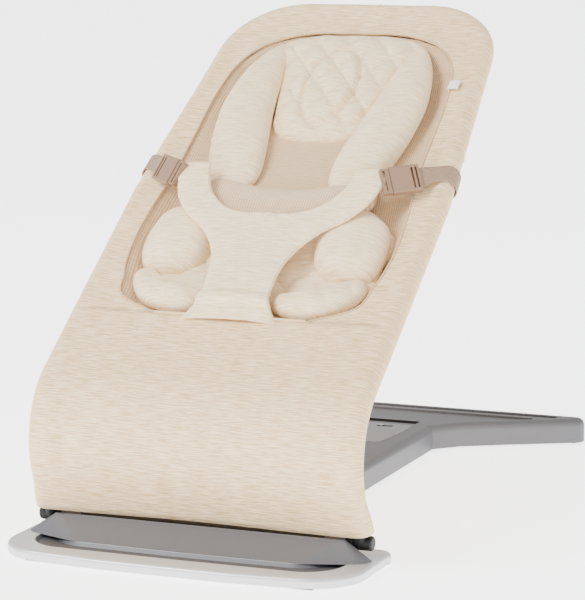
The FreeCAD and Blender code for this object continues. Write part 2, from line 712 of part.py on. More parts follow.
# ---------------------------------------------------------------- build and write

front_foot()
pads("front_foot_pads", 140, 22 - D["foot_front"], 70, 12)
hinge_lugs()
spine()
lock_pin()
notch_rack()
rear_foot()
pads("rear_foot_pads", 205, D["rear_end"] - 12, 50, 12)
hinge_shaft()
frame_tubes()
crossbar()
prop()
apron()
back_border()
seat_mesh()
side_tag()
insert()
restraint()
buckles()
straps()

doc.recompute()
for thing in doc.Objects:
    if "Invalid" in thing.State or "Error" in thing.State:
        raise ValueError("%s is not valid" % thing.Label)
for part in PARTS:
    if part.Shape.isNull() or not part.Shape.isValid():
        raise ValueError("%s has no valid shape" % part.Label)
    part.Shape.exportStep("parts/%s.step" % part.Label)
    span = part.Shape.BoundBox
    print("%-24s %d  x %.1f %.1f  y %.1f %.1f  z %.1f %.1f" % (
        part.Label, len(part.Shape.Solids), span.XMin, span.XMax, span.YMin, span.YMax, span.ZMin, span.ZMax))
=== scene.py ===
import math

import bpy
import numpy as np
from mathutils import Matrix, Vector, noise


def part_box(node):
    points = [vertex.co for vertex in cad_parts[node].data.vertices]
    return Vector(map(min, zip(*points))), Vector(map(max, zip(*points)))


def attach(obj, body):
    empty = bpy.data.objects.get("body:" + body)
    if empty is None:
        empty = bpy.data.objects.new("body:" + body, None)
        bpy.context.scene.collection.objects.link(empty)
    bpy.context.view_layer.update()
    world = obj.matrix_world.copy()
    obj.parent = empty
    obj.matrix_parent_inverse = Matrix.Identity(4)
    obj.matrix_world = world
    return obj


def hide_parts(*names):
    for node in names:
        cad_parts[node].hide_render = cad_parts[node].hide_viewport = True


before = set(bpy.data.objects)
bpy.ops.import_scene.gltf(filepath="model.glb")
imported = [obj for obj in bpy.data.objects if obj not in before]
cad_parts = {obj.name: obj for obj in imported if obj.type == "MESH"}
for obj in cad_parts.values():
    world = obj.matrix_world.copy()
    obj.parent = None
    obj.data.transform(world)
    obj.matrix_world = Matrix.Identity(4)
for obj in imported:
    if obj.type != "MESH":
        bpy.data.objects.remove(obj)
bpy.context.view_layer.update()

# Baby bouncer seat: soft goods, materials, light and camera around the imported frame.
# Soft pieces are drawn in seat coordinates: x across, u up the back and n out of its front face.

MM = 0.001
shaft_low, shaft_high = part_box("hinge_shaft")
HINGE_Y = (shaft_low.y + shaft_high.y) / 2
BACK_Y = HINGE_Y + 3.4 * MM      # where the flat back starts
BACK_Z = 207 * MM                # and its height over the floor
TILT = math.radians(36)          # slope of the back
BEND = 110 * MM                  # radius of the front face in the bend under the knees
BEND_END = math.radians(110.7)   # heading where the bend meets the straight run down to the hinge
BEND_LENGTH = (BEND_END - TILT) * BEND
HEM = -(BEND_LENGTH + 43 * MM)   # lower hem of the cover
TUBE_X = 191 * MM                # side tubes, either side of the middle
TUBE_N = -14.5 * MM              # middle of the frame tubes, behind the front face
SLEEVE = 14 * MM                 # outside of the cloth round the tube
FLARE = 0.32                     # share by which the cloth widens at the hem
FLARE_LENGTH = 45 * MM           # over this length above the hem
SEAM_N = -3.2 * MM               # border at the inner seam, below the face of the sleeves
BACK_PANEL_LOW = -60 * MM        # lower edge of the panel behind the seat
STRAP_U = 344                    # where the straps cross the frame, mm along the back
PULL_U = 342 * MM                # and where they crease the cloth most
APRON_TOP = 92 * MM              # where the apron ends and the opening for the mesh begins
SLEEVE_SEAM_AT = 388 * MM        # seams across the side sleeves, along the frame


# ---------------------------------------------------------------- seat coordinates

def seat_point(x, u, n):
    """World points from seat coordinates. Below u = 0 the seat bends, then runs straight to the hinge."""
    x, u, n = np.broadcast_arrays(np.asarray(x, float), np.asarray(u, float), np.asarray(n, float))
    heading = TILT + np.clip(-u, 0, BEND_LENGTH) / BEND
    centre_y = BACK_Y + BEND * math.sin(TILT)
    centre_z = BACK_Z - BEND * math.cos(TILT)
    run = np.where(u > 0, u, np.where(u < -BEND_LENGTH, u + BEND_LENGTH, 0))
    y = centre_y - (BEND + n) * np.sin(heading) + run * np.cos(heading)
    z = centre_z + (BEND + n) * np.cos(heading) + run * np.sin(heading)
    return np.stack([x, y, z], axis=-1)


def through(keys, values, at):
    """Smooth curve through values given at rising keys, for numbers or for points."""
    keys = np.asarray(keys, float)
    values = np.asarray(values, float)
    at = np.clip(np.asarray(at, float), keys[0], keys[-1])
    slope = np.gradient(values, keys, axis=0)
    i = np.clip(np.searchsorted(keys, at, side="right") - 1, 0, len(keys) - 2)
    width = keys[i + 1] - keys[i]
    f = (at - keys[i]) / width
    if values.ndim > 1:
        f = f[..., None]
        width = width[..., None]
    h00 = 2 * f ** 3 - 3 * f ** 2 + 1
    h10 = f ** 3 - 2 * f ** 2 + f
    h01 = 3 * f ** 2 - 2 * f ** 3
    h11 = f ** 3 - f ** 2
    return h00 * values[i] + h10 * width * slope[i] + h01 * values[i + 1] + h11 * width * slope[i + 1]


def step(low, high, value):
    """Smooth step from 0 at 'low' to 1 at 'high'; 'low' may be the larger of the two."""
    f = np.clip((value - low) / (high - low), 0, 1)
    return f * f * (3 - 2 * f)


def ripple(points, scale, seed):
    """Smooth noise between -1 and 1 at each point."""
    flat = points.reshape(-1, 3)
    shift = Vector((seed * 7.31, seed * 3.17, seed * 5.79))
    values = [noise.noise(Vector(p) * scale + shift) for p in flat]
    return np.array(values).reshape(points.shape[:-1])


# ---------------------------------------------------------------- meshes

def new_object(name, vertices, faces, uvs):
    """Smooth-shaded mesh in the scene, with one uv pair for each vertex."""
    mesh = bpy.data.meshes.new(name)
    mesh.from_pydata([tuple(v) for v in vertices], [], faces)
    layer = mesh.uv_layers.new(name="cloth")
    for loop in mesh.loops:
        layer.data[loop.index].uv = uvs[loop.vertex_index]
    mesh.update()
    mesh.shade_smooth()
    obj = bpy.data.objects.new(name, mesh)
    bpy.context.scene.collection.objects.link(obj)
    return obj


def grid_faces(rows, columns, close_columns=False, first=0):
    """Quads of a grid of vertices that starts at number 'first', closed round its columns if asked."""
    faces = []
    for i in range(rows - 1):
        for j in range(columns if close_columns else columns - 1):
            a = i * columns + j
            b = i * columns + (j + 1) % columns
            c = (i + 1) * columns + (j + 1) % columns
            d = (i + 1) * columns + j
            faces.append((first + a, first + b, first + c, first + d))
    return faces


def sheet_object(name, points, uvs, thickness, flip=False):
    """Cloth from a grid of points, given a real thickness behind its face."""
    rows, columns = points.shape[:2]
    faces = grid_faces(rows, columns)
    if flip:
        faces = [face[::-1] for face in faces]
    obj = new_object(name, points.reshape(-1, 3), faces, uvs.reshape(-1, 2))
    solid = obj.modifiers.new("thickness", "SOLIDIFY")
    solid.thickness = thickness
    solid.offset = -1
    return obj


def roll_object(name, axis, widths, base, height, count, shape, sides=28, flat=0.35):
    """Filled roll along an axis of (x, u) points: half widths, height of its base and thickness.

    shape(x, u, n, rise) gives what is added to the height of the points."""
    keys = np.linspace(0, 1, len(axis))
    ends = 0.5 - 0.5 * np.cos(np.linspace(0, math.pi, count))
    line = through(keys, np.array(axis) * MM, ends)
    half = through(keys, np.array(widths) * MM, ends)
    low = through(keys, np.array(base) * MM, ends)
    thick = through(keys, np.array(height) * MM, ends)
    tip = np.sqrt(np.clip(1 - (2 * ends - 1) ** 8, 0, 1))
    heading = np.gradient(line, axis=0)
    heading /= np.maximum(np.linalg.norm(heading, axis=1, keepdims=True), 1e-9)
    around = np.linspace(0, 2 * math.pi, sides, endpoint=False)
    side = np.sign(np.cos(around)) * np.abs(np.cos(around)) ** 0.8
    rise = np.where(np.sin(around) > 0, np.abs(np.sin(around)) ** 0.85, flat * np.sin(around))
    x = line[:, 0, None] + heading[:, 1, None] * side * (half * tip)[:, None]
    u = line[:, 1, None] - heading[:, 0, None] * side * (half * tip)[:, None]
    middle = low + thick * flat / (1 + flat)
    n = middle[:, None] + rise * (thick * tip / (1 + flat))[:, None]
    n = n + shape(x, u, n, rise)
    points = seat_point(x, u, n)
    faces = grid_faces(count, sides, close_columns=True)
    vertices = list(points.reshape(-1, 3))
    uvs = list(np.stack([x, u], axis=-1).reshape(-1, 2))
    for row, order in ((0, 1), (count - 1, -1)):
        vertices.append(points[row].mean(axis=0))
        uvs.append((x[row].mean(), u[row].mean()))
        ring = [row * sides + j for j in range(sides)]
        for j in range(sides):
            corner = (len(vertices) - 1, ring[(j + 1) % sides], ring[j])
            faces.append(corner[::order])
    return new_object(name, vertices, faces, uvs)


def pad_object(name, outline, base, height, rings, count, shape, power, crown=0.5):
    """Filled pad over a closed outline of (x, u) points, flat below and crowned above.

    shape(x, u, radii) gives what is added to the height of its upper side."""
    outline = np.array(outline, float) * MM
    closed = np.vstack([outline[-1:], outline, outline[:2]])
    keys = np.arange(-1, len(outline) + 2)
    around = np.linspace(0, len(outline), count, endpoint=False)
    edge = through(keys, closed, around)
    centre = edge.mean(axis=0)
    radii = np.sin(np.linspace(0, 1, rings) * math.pi / 2)
    upper = centre + radii[:, None, None] * (edge - centre)
    top = base * MM + height * MM * (1 - radii ** power) ** crown
    n_top = np.broadcast_to(top[:, None], upper.shape[:2]).copy()
    n_top += shape(upper[..., 0], upper[..., 1], np.broadcast_to(radii[:, None], n_top.shape))
    low_radii = radii[::-1][1:]
    lower = centre + low_radii[:, None, None] * (edge - centre)
    n_low = np.broadcast_to((base * MM - 2 * MM * (1 - low_radii ** 4))[:, None], lower.shape[:2])
    plan = np.concatenate([upper, lower])
    n = np.concatenate([n_top, n_low])
    points = seat_point(plan[..., 0], plan[..., 1], n)
    rows = len(plan)
    inner = points[1:rows - 1]
    vertices = list(inner.reshape(-1, 3)) + [points[0, 0], points[-1, 0]]
    uvs = list(plan[1:rows - 1].reshape(-1, 2)) + [plan[0, 0], plan[-1, 0]]
    faces = [face[::-1] for face in grid_faces(rows - 2, count, close_columns=True)]
    last = (rows - 3) * count
    for j in range(count):
        faces.append((len(vertices) - 2, j, (j + 1) % count))
        faces.append((len(vertices) - 1, last + (j + 1) % count, last + j))
    return new_object(name, vertices, faces, uvs)


def line_object(name, points, radius):
    """Thin round line, such as piping or thread, along world points."""
    curve = bpy.data.curves.new(name, "CURVE")
    curve.dimensions = "3D"
    curve.bevel_depth = radius
    curve.bevel_resolution = 2
    spline = curve.splines.new("POLY")
    spline.points.add(len(points) - 1)
    for point, place in zip(spline.points, points):
        point.co = (*place, 1)
    obj = bpy.data.objects.new(name, curve)
    bpy.context.scene.collection.objects.link(obj)
    return obj


# ---------------------------------------------------------------- cover

# Right half of the frame path on the back: straight side, lean inwards, round corner, head.
SIDE_TOP = 300 * MM
CORNER_POINT = np.array([165, 650]) * MM
CORNER = 88 * MM
LEAN_START = np.array([TUBE_X, SIDE_TOP])
LEAN_LENGTH = np.linalg.norm(CORNER_POINT - LEAN_START)
LEAN = (CORNER_POINT - LEAN_START) / LEAN_LENGTH
TURN = math.acos(-LEAN[0])
REACH = CORNER * math.tan(TURN / 2)
CORNER_AT = SIDE_TOP + LEAN_LENGTH - REACH
TOP_AT = CORNER_AT + CORNER * TURN
MIDDLE_AT = TOP_AT + CORNER_POINT[0] - REACH


def frame_path(t):
    """Tube centre (x, u) and outward direction at a distance t along the frame, right then left."""
    mirror = 1
    if t > MIDDLE_AT:
        t = 2 * MIDDLE_AT - t
        mirror = -1
    out = np.array([LEAN[1], -LEAN[0]])
    if t <= SIDE_TOP:
        place = np.array([TUBE_X, t])
        out = np.array([1.0, 0.0])
    elif t <= CORNER_AT:
        place = LEAN_START + LEAN * (t - SIDE_TOP)
    elif t <= TOP_AT:
        start = CORNER_POINT - LEAN * REACH
        centre = start - out * CORNER
        angle = (t - CORNER_AT) / CORNER
        out = np.array([out[0] * math.cos(angle) - out[1] * math.sin(angle),
                        out[0] * math.sin(angle) + out[1] * math.cos(angle)])
        place = centre + out * CORNER
    else:
        place = np.array([CORNER_POINT[0] - REACH - (t - TOP_AT), CORNER_POINT[1]])
        out = np.array([0.0, 1.0])
    return place * (mirror, 1), out * (mirror, 1)


# Seam round the mesh, right half: distance along the frame, then the seam's x and u.
SEAM = np.array([(92, 95, 92), (112, 140, 112), (150, 158, 152), (215, 167, 215), (262, 165.5, 262),
                 (330, 158, 330), (400, 156, 400), (480, 154, 480), (548, 145, 534), (634, 114, 578),
                 (703, 68, 597), (MIDDLE_AT / MM, 0, 600)]) * MM


def seam_point(t):
    """Seam's (x, u) at a distance t along the frame, right then left."""
    mirror = 1
    if t > MIDDLE_AT:
        t = 2 * MIDDLE_AT - t
        mirror = -1
    return through(SEAM[:, 0], SEAM[:, 1:], np.array([t]))[0] * (mirror, 1)


# Angles of the cloth round a tube, from behind it, round its outside, to its front.
WRAP = np.radians(np.linspace(-200, 90, 22))


def wrap_section(t):
    """Cloth round the tube at one station, as x, u and n. It flares sideways a little at the hem."""
    place, out = frame_path(t)
    from_hem = min(t, 2 * MIDDLE_AT - t) - HEM
    flare = 1 + FLARE * (1 - step(0, FLARE_LENGTH, from_hem))
    side = SLEEVE * flare * np.cos(WRAP)
    return place[0] + out[0] * side, place[1] + out[1] * side, TUBE_N + SLEEVE * np.sin(WRAP)


def cover():
    """Apron, frame sleeves and border, sewn as one cover."""
    rows = []
    across = np.linspace(0, 1, 46)[1:-1]
    for t in np.linspace(HEM, APRON_TOP, 44):
        x, u, n = wrap_section(t)
        top = n[-1]
        middle_x = x[-1] - 2 * x[-1] * across
        sag = 3.0 * MM * np.sin(math.pi * across) ** 2
        rows.append((np.concatenate([x, middle_x, -x[::-1]]),
                     np.concatenate([u, np.full(len(across), t), u[::-1]]),
                     np.concatenate([n, top - sag, n[::-1]])))
    x, u, n = (np.array(part) for part in zip(*rows))
    apron_points = crease(seat_point(x, u, n), x, u)
    apron_uv = np.stack([x, u], axis=-1)

    rows = []
    inward = np.linspace(0, 1, 15)[1:]
    for t in np.linspace(APRON_TOP, 2 * MIDDLE_AT - APRON_TOP, 190):
        x, u, n = wrap_section(t)
        _, out = frame_path(t)
        seam = seam_point(t)
        dip = -1.2 * MM * np.sin(math.pi * inward)
        lip = np.array([0.6, 1.4]) * MM
        rows.append((np.concatenate([x, x[-1] + (seam[0] - x[-1]) * inward, seam[0] + out[0] * lip]),
                     np.concatenate([u, u[-1] + (seam[1] - u[-1]) * inward, seam[1] + out[1] * lip]),
                     np.concatenate([n, n[-1] + (SEAM_N - n[-1]) * inward + dip, [-5 * MM, -7.5 * MM]])))
    x, u, n = (np.array(part) for part in zip(*rows))
    border_points = crease(seat_point(x, u, n), x, u)
    border_uv = np.stack([x, u], axis=-1)

    vertices = np.concatenate([apron_points.reshape(-1, 3), border_points.reshape(-1, 3)])
    uvs = np.concatenate([apron_uv.reshape(-1, 2), border_uv.reshape(-1, 2)])
    faces = grid_faces(*apron_points.shape[:2])
    faces += grid_faces(*border_points.shape[:2], first=apron_points.shape[0] * apron_points.shape[1])
    obj = new_object("cover", vertices, [face[::-1] for face in faces], uvs)
    weld = obj.modifiers.new("weld", "WELD")
    weld.merge_threshold = 0.2 * MM
    solid = obj.modifiers.new("thickness", "SOLIDIFY")
    solid.thickness = 1.0 * MM
    solid.offset = -1
    return obj


def crease(points, x, u):
    """Light, broad unevenness of cloth under tension, stronger beside the straps."""
    soft = ripple(points * (0.6, 1, 1), 14, 1) * 0.7 * MM + ripple(points, 45, 2) * 0.25 * MM
    strap = np.exp(-((u - PULL_U) / (35 * MM)) ** 2) * step(120 * MM, 185 * MM, np.abs(x))
    pull = ripple(points * (0.5, 1, 1), 60, 3) * 1.1 * MM * strap
    result = points.copy()
    result[..., 1] -= (soft + pull) * math.sin(TILT)
    result[..., 2] += (soft + pull) * math.cos(TILT)
    return result


def back_panel():
    """Plain panel that closes the cover behind the seat."""
    rows = []
    across = np.linspace(-1, 1, 40)
    for t in np.linspace(BACK_PANEL_LOW, MIDDLE_AT - 6 * MM, 90):
        place, _ = frame_path(t)
        x = place[0] * across
        sag = 1.4 * MM * (1 - across ** 2)
        rows.append((x, np.full(len(x), place[1]), TUBE_N - SLEEVE - sag * step(BACK_PANEL_LOW, 0, t)))
    x, u, n = (np.array(part) for part in zip(*rows))
    return sheet_object("back_panel", seat_point(x, u, n), np.stack([x, u], axis=-1), 1.0 * MM, flip=True)


# ---------------------------------------------------------------- mesh

# Sag of the mesh panel: heights up the back, with its depth there and at its rim.
MESH_U = np.array([92, 113, 140, 250, 330, 575, 599]) * MM
MESH_N = np.array([-6, -17, -26, -26, -13.6, -13.6, -7]) * MM
MESH_RIM = -6.4 * MM


def seam_half_width(u):
    """Distance from the middle to the seam at a height up the back."""
    inside = np.clip(u, SEAM[0, 2], SEAM[-1, 2] - 0.2 * MM)
    return np.interp(inside, SEAM[:, 2], SEAM[:, 1])


def seat_mesh():
    """Ribbed panel hung from the inner seam; its ribs follow the seam."""
    rows = []
    across = np.sin(np.linspace(-1, 1, 60) * math.pi / 2)
    for u in np.linspace(90 * MM, 602 * MM, 120):
        half = seam_half_width(u) + 5 * MM + 9 * MM * step(150 * MM, 115 * MM, u)
        x = half * across
        floor = through(MESH_U, MESH_N, np.array([u]))[0]
        n = MESH_RIM + (floor - MESH_RIM) * step(2 * MM, 28 * MM, half - np.abs(x))
        rows.append((x, np.full(len(x), u), n, half - np.abs(x)))
    x, u, n, inset = (np.array(part) for part in zip(*rows))
    return sheet_object("mesh_panel", seat_point(x, u, n), np.stack([inset, u], axis=-1), 1.0 * MM)


# ---------------------------------------------------------------- insert

def diamonds(x, u, wide=42 * MM, tall=52 * MM):
    """Quilting: 0 on the sewn lines, 1 in the middle of each diamond."""
    a = x / wide + u / tall
    b = x / wide - u / tall
    return (np.abs(np.sin(math.pi * a)) * np.abs(np.sin(math.pi * b))) ** 0.3


SIDES = ((1, "right"), (-1, "left"))


def insert_pieces():
    """Bolsters and quilted edges on both sides, the head pad and the seat cushion."""
    pieces = []
    bolster_axis = [(74, 296), (77, 325), (84, 360), (92, 400), (98, 440), (100, 475), (99, 515), (96, 550),
                    (92, 580)]
    bolster_width = [24, 33, 36, 36, 34, 31, 25, 17, 7]
    for side, name in SIDES:
        axis = [(side * x, u) for x, u in bolster_axis]
        pieces.append(roll_object(name + "_side_bolster", axis, bolster_width, [-11] * 9,
                                  [10, 21, 30, 32, 32, 30, 26, 19, 12], count=80, shape=puckers(4)))
    for side, name in SIDES:
        axis = [(side * x, u) for x, u in ((112, 166), (112, 190), (108, 225), (106, 258), (110, 286))]
        pieces.append(roll_object(name + "_thigh_bolster", axis, [28, 40, 44, 38, 14], [-24] * 5,
                                  [22, 34, 38, 34, 18], count=50, shape=puckers(6)))
    for side, name in SIDES:
        axis = [(side * x, u) for x, u in ((136, 172), (128, 148), (106, 128), (76, 122), (40, 126))]
        pieces.append(roll_object(name + "_seat_edge", axis, [12, 18, 20, 19, 15], [-20, -20, -17, -17, -17],
                                  [16, 24, 26, 24, 18], count=90, sides=40, shape=puckers(8, quilt=3 * MM)))
    pieces.append(head_pad())
    pieces.append(seat_quilt())
    return pieces


def puckers(seed, quilt=0):
    """Uneven filling of a roll, with quilting of the given depth on its upper side."""
    def shape(x, u, n, rise):
        points = seat_point(x, u, n)
        uneven = ripple(points, 28, seed) * 1.3 * MM + ripple(points, 70, seed + 1) * 0.5 * MM
        return (uneven + (diamonds(x, u) - 1) * quilt) * step(-0.3, 0.3, rise)
    return shape


def head_pad():
    """Wide quilted head pad with an oval seam in its middle."""
    half = [(40, 405), (58, 420), (65, 448), (70, 475), (78, 517), (87, 549), (100, 572), (84, 588),
            (50, 597)]
    outline = [(0, 401)] + half + [(0, 599)] + [(-x, u) for x, u in reversed(half)]

    def shape(x, u, radii):
        quilt = (diamonds(x, u) - 1) * 7 * MM
        oval = np.sqrt((x / (34 * MM)) ** 2 + ((u - 490 * MM) / (68 * MM)) ** 2)
        ring = -8 * MM * np.exp(-((oval - 1) / 0.09) ** 2)
        points = seat_point(x, u, np.zeros_like(x))
        soft = ripple(points, 40, 12) * 1.2 * MM
        return (quilt + ring + soft + 4 * MM * step(1.25, 0.9, oval)) * step(0, 0.12, 1 - radii)
    return pad_object("head_pad", outline, -11.3, 21, rings=64, count=190, shape=shape, power=5)


def seat_quilt():
    """Quilted cushion of the seat, under the restraint."""
    outline = [(0, 112), (60, 112), (120, 124), (146, 150), (150, 200), (140, 262), (0, 270), (-140, 262),
               (-150, 200), (-146, 150), (-120, 124), (-60, 112)]

    def shape(x, u, radii):
        return (diamonds(x, u) - 1) * 4.5 * MM * step(0, 0.1, 1 - radii)
    return pad_object("seat_quilt", outline, -24, 11, rings=50, count=150, shape=shape, power=8)


def insert_mesh():
    """Fine mesh of the insert between the side bolsters."""
    rows = []
    for u in np.linspace(305, 440, 30) * MM:
        x = np.linspace(-78, 78, 30) * MM
        n = np.full(len(x), -9.0 * MM) - 1.5 * MM * np.cos(x / (78 * MM) * 1.5)
        rows.append((x, np.full(len(x), u), n))
    x, u, n = (np.array(part) for part in zip(*rows))
    return sheet_object("insert_mesh_panel", seat_point(x, u, n), np.stack([x, u], axis=-1), 1.0 * MM)


def lumbar_roll():
    """Ribbed band across the small of the back, curved up at its ends."""
    axis = [(-112, 312), (-84, 293), (-40, 280), (0, 277), (40, 280), (84, 293), (112, 312)]

    def shape(x, u, n, rise):
        points = seat_point(x, u, n)
        return ripple(points, 30, 21) * 0.8 * MM * (rise > 0)
    return roll_object("lumbar_band", axis, [22, 27, 29, 30, 29, 27, 22], [-14] * 7,
                       [20, 25, 24, 23, 24, 25, 20], count=80, shape=shape)


# ---------------------------------------------------------------- restraint

OUTER_EDGE = [(60, 85), (48, 102), (42, 118), (42, 142), (45, 167), (55, 193), (75, 219), (104, 243),
              (122, 268), (131, 296), (136, 316)]
NECKLINE = [(0, 85), (0, 120), (0, 150), (0, 180), (0, 210), (0, 226), (0, 237), (18, 238), (36, 241),
            (52, 247), (66, 257), (80, 272), (88, 287), (94, 305), (97, 318)]


def along(points, at):
    """Points at fractions of the length of a line through points."""
    points = np.array(points, float) * MM
    lengths = np.concatenate([[0], np.cumsum(np.linalg.norm(np.diff(points, axis=0), axis=1))])
    return through(lengths / lengths[-1], points, at)


FOLD_SEAMS = (103 * MM, 122 * MM)


def restraint_n(x, u):
    """Height of the restraint, with two sewn folds above its lower end."""
    rise = (u - 92 * MM) * math.tan(math.radians(5)) + 8 * MM * step(84 * MM, 118 * MM, u) - 2 * MM
    crown = 3 * MM * (1 - np.clip(np.abs(x) / (60 * MM), 0, 1) ** 2)
    fold = 3.0 * MM * np.exp(-((u - 112 * MM) / (6 * MM)) ** 2)
    for seam in FOLD_SEAMS:
        fold = fold - 2.0 * MM * np.exp(-((u - seam) / (3 * MM)) ** 2)
    return rise + crown + fold


def restraint_points(x, u, drop=0):
    """World points on the restraint's slightly uneven face, or 'drop' behind it."""
    points = seat_point(x, u, restraint_n(x, u) - drop)
    wave = ripple(points, 22, 31) * 1.4 * MM + ripple(points, 60, 32) * 0.5 * MM
    points[..., 1] -= wave * math.sin(TILT)
    points[..., 2] += wave * math.cos(TILT)
    return points


def restraint():
    """Y-shaped padded panel: both halves meet at the middle, open above the neckline."""
    a = np.linspace(0, 1, 26)
    b = np.linspace(0, 1, 110)
    inner = along(NECKLINE, b)
    inner[:, 0] = np.maximum(inner[:, 0], 0)
    outer = along(OUTER_EDGE, b)
    low = inner[0] + (outer[0] - inner[0]) * a[:, None]
    high = inner[-1] + (outer[-1] - inner[-1]) * a[:, None]
    across = a[None, :, None]
    up = b[:, None, None]
    plan = ((1 - across) * inner[:, None] + across * outer[:, None] + (1 - up) * low[None] + up * high[None]
            - ((1 - across) * (1 - up) * inner[0] + across * (1 - up) * outer[0]
               + (1 - across) * up * inner[-1] + across * up * outer[-1]))
    vertices = []
    faces = []
    uvs = []
    edges = []
    for side in (-1, 1):
        x, u = side * plan[..., 0], plan[..., 1]
        points = restraint_points(x, u, 2.5 * MM * a[None, :] ** 6)
        part = grid_faces(*plan.shape[:2], first=len(vertices))
        faces += part if side == 1 else [face[::-1] for face in part]
        vertices += list(points.reshape(-1, 3))
        uvs += list(np.stack([x, u], axis=-1).reshape(-1, 2))
        edges.append(points[:, -1])
        edges.append(points[inner[:, 0] > 0, 0])
    panel = new_object("restraint", vertices, [face[::-1] for face in faces], uvs)
    weld = panel.modifiers.new("weld", "WELD")
    weld.merge_threshold = 0.05 * MM
    solid = panel.modifiers.new("thickness", "SOLIDIFY")
    solid.thickness = 2.6 * MM
    solid.offset = -1
    binding = [line_object("restraint_edge_%d" % i, row, 1.6 * MM) for i, row in enumerate(edges)]
    return panel, binding


# ---------------------------------------------------------------- straps and label

def strap(name, side):
    """Webbing from the ladder lock of a buckle over the frame and round behind it."""
    turn = np.radians([66, 40, 10, -30, -70, -100])
    bow_x = 188
    radius = (SLEEVE / MM) + 1.6
    path = [(166, 319.5, 13.4), (169, 321.3, 12.4), (175, 328, 9.4), (181, 335, 5.4)]
    path += [(bow_x + radius * math.cos(angle), STRAP_U, TUBE_N / MM + radius * math.sin(angle))
             for angle in turn]
    path = np.array(path)
    width = np.array([(-0.365, 0.813, 0.453)] * 2 + [(-0.28, 0.90, 0.30), (-0.15, 0.96, 0.12)]
                     + [(-0.07, 1, 0)] * len(turn))
    keys = np.linspace(0, 1, len(path))
    at = np.linspace(0, 1, 60)
    middle = through(keys, path, at)
    sideways = through(keys, width, at)
    offset = np.linspace(-12.5, 12.5, 9)
    grid = (middle[:, None] + sideways[:, None] * offset[None, :, None]) * MM
    length = np.concatenate([[0], np.cumsum(np.linalg.norm(np.diff(middle, axis=0), axis=1))]) * MM
    uvs = np.stack(np.broadcast_arrays(offset[None, :] * MM, length[:, None]), axis=-1)
    points = seat_point(side * grid[..., 0], grid[..., 1], grid[..., 2])
    return sheet_object(name, points, uvs, 1.4 * MM, flip=side < 0)


def label():
    """Small blank label, from the inner seam outwards over the border."""
    across = np.linspace(0, 1, 12)
    u = np.linspace(494, 510, 12)[:, None] * MM
    x = (150 + 14 * across)[None, :] * MM
    n = (0.6 + 1.6 * np.sin(across * math.pi * 0.8))[None, :] * MM
    x, u, n = np.broadcast_arrays(x, u, n)
    return sheet_object("label", seat_point(x, u, n), np.stack([x, u], axis=-1), 0.8 * MM)


# ---------------------------------------------------------------- materials

def socket(node, name, value):
    """Sets one input of a shader node."""
    node.inputs[name].default_value = value


def new_material(name):
    """Material with its nodes, its links and its main shader."""
    material = bpy.data.materials.new(name)
    material.use_nodes = True
    nodes = material.node_tree.nodes
    links = material.node_tree.links
    return material, nodes, links, nodes["Principled BSDF"]


def srgb(r, g, b):
    """Linear colour from values between 0 and 255."""
    return tuple(((c / 255 + 0.055) / 1.055) ** 2.4 if c > 10 else c / 255 / 12.92 for c in (r, g, b)) + (1,)


def cloth_coordinates(nodes, links, scale):
    """Texture coordinates in metres across and along the cloth, times a scale."""
    place = nodes.new("ShaderNodeUVMap")
    mapping = nodes.new("ShaderNodeMapping")
    mapping.inputs["Scale"].default_value = scale
    links.new(place.outputs["UV"], mapping.inputs["Vector"])
    return mapping.outputs["Vector"]


def fabric(name, light, dark, streak=(60, 900, 1), rib=0.0, dots=0.0, bump=0.25, contrast=0.6):
    """Knitted or woven cloth: flecked yarn colour, fine bump, optional ribs or mesh holes darkened by
    painted shade in their grooves.
    """
    material, nodes, links, shader = new_material(name)
    flecks = nodes.new("ShaderNodeTexNoise")
    flecks.inputs["Scale"].default_value = 1.0
    flecks.inputs["Detail"].default_value = 3.0
    flecks.inputs["Roughness"].default_value = 0.65
    links.new(cloth_coordinates(nodes, links, streak), flecks.inputs["Vector"])
    ramp = nodes.new("ShaderNodeValToRGB")
    ramp.color_ramp.elements[0].position = 0.5 - contrast / 4
    ramp.color_ramp.elements[1].position = 0.5 + contrast / 4
    ramp.color_ramp.elements[0].color = dark
    ramp.color_ramp.elements[1].color = light
    links.new(flecks.outputs["Fac"], ramp.inputs["Fac"])
    colour = ramp.outputs["Color"]
    height = flecks.outputs["Fac"]
    if rib or dots:
        lines = []
        for direction, spacing in (("X", rib or dots), ("Y", dots)):
            if not spacing:
                continue
            wave = nodes.new("ShaderNodeTexWave")
            wave.bands_direction = direction
            wave.inputs["Scale"].default_value = 2 * math.pi / (20 * spacing)
            links.new(cloth_coordinates(nodes, links, (1, 1, 1)), wave.inputs["Vector"])
            lines.append(wave.outputs["Fac"])
        pattern = lines[0]
        if len(lines) == 2:
            both = nodes.new("ShaderNodeMath")
            both.operation = "MULTIPLY"
            links.new(lines[0], both.inputs[0])
            links.new(lines[1], both.inputs[1])
            pattern = both.outputs["Value"]
        # Colour multiplied darker where the pattern is low: painted shade in the grooves of the ribs and the
        # mesh.
        shade = nodes.new("ShaderNodeMix")
        shade.data_type = "RGBA"
        shade.blend_type = "MULTIPLY"
        groove_shade = nodes.new("ShaderNodeValToRGB")
        groove_shade.color_ramp.elements[0].color = (0.74, 0.68, 0.60, 1)
        groove_shade.color_ramp.elements[1].color = (1, 1, 1, 1)
        links.new(pattern, groove_shade.inputs["Fac"])
        shade.inputs["Factor"].default_value = 1.0
        links.new(colour, shade.inputs["A"])
        links.new(groove_shade.outputs["Color"], shade.inputs["B"])
        colour = shade.outputs["Result"]
        height = pattern
    links.new(colour, shader.inputs["Base Color"])
    raised = nodes.new("ShaderNodeBump")
    raised.inputs["Strength"].default_value = bump
    raised.inputs["Distance"].default_value = 0.6 * MM
    links.new(height, raised.inputs["Height"])
    links.new(raised.outputs["Normal"], shader.inputs["Normal"])
    socket(shader, "Roughness", 0.95)
    socket(shader, "Sheen Weight", 0.12)
    socket(shader, "Sheen Roughness", 0.5)
    return material


